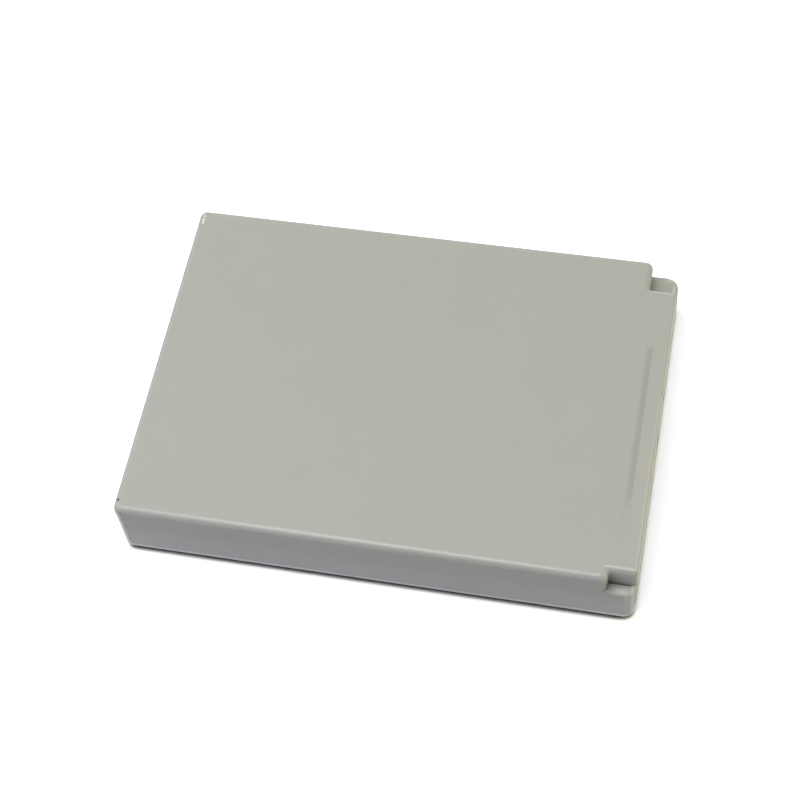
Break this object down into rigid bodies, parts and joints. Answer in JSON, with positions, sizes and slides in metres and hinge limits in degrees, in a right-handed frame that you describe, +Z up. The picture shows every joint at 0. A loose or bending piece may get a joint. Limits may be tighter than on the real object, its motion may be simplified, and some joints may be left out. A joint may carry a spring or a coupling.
{
  "type": "camera battery pack",
  "caption": "Slim flat rechargeable battery pack for a compact camera, with a grey moulded case, keyed corner notches and recessed end contacts.",
  "frame": {"origin": "middle of the flat base, on the surface the pack lies on", "axes": "+X along the length to the contact end, +Y across the width to the side with the wide key notch, +Z up to the plain face"},
  "size_m": [0.045, 0.032, 0.007],
  "materials": {
    "case_plastic": "fine matte moulded texture",
    "can_aluminium": "drawn, satin",
    "adhesive_tape": "matte",
    "soft_pad": "matte foam",
    "gasket_plastic": "matte",
    "nickel": "rolled",
    "insulating_paper": "matte",
    "package_resin": "matte",
    "board_laminate": "solder resist over glass laminate",
    "contact_gold": "gold plated",
    "chip_ceramic": "matte"
  },
  "bodies": {
    "root": {"upper_case": "case_plastic", "base_cover": "case_plastic", "cell": "can_aluminium", "cell_tape": "adhesive_tape", "base_pad": "soft_pad", "cell_gasket": "gasket_plastic", "cell_terminal": "nickel", "header_insulator": "insulating_paper", "positive_lead": "nickel", "negative_lead": "nickel", "thermal_cutoff": "package_resin", "cutoff_lead": "nickel", "protection_board": "board_laminate", "contact_positive": "contact_gold", "contact_sense": "contact_gold", "contact_negative": "contact_gold", "switch_transistor": "package_resin", "protection_chip": "package_resin", "supply_capacitor": "chip_ceramic", "output_capacitor": "chip_ceramic", "supply_resistor": "package_resin", "sense_resistor": "package_resin", "thermistor": "chip_ceramic"}
  },
  "joints": []
}
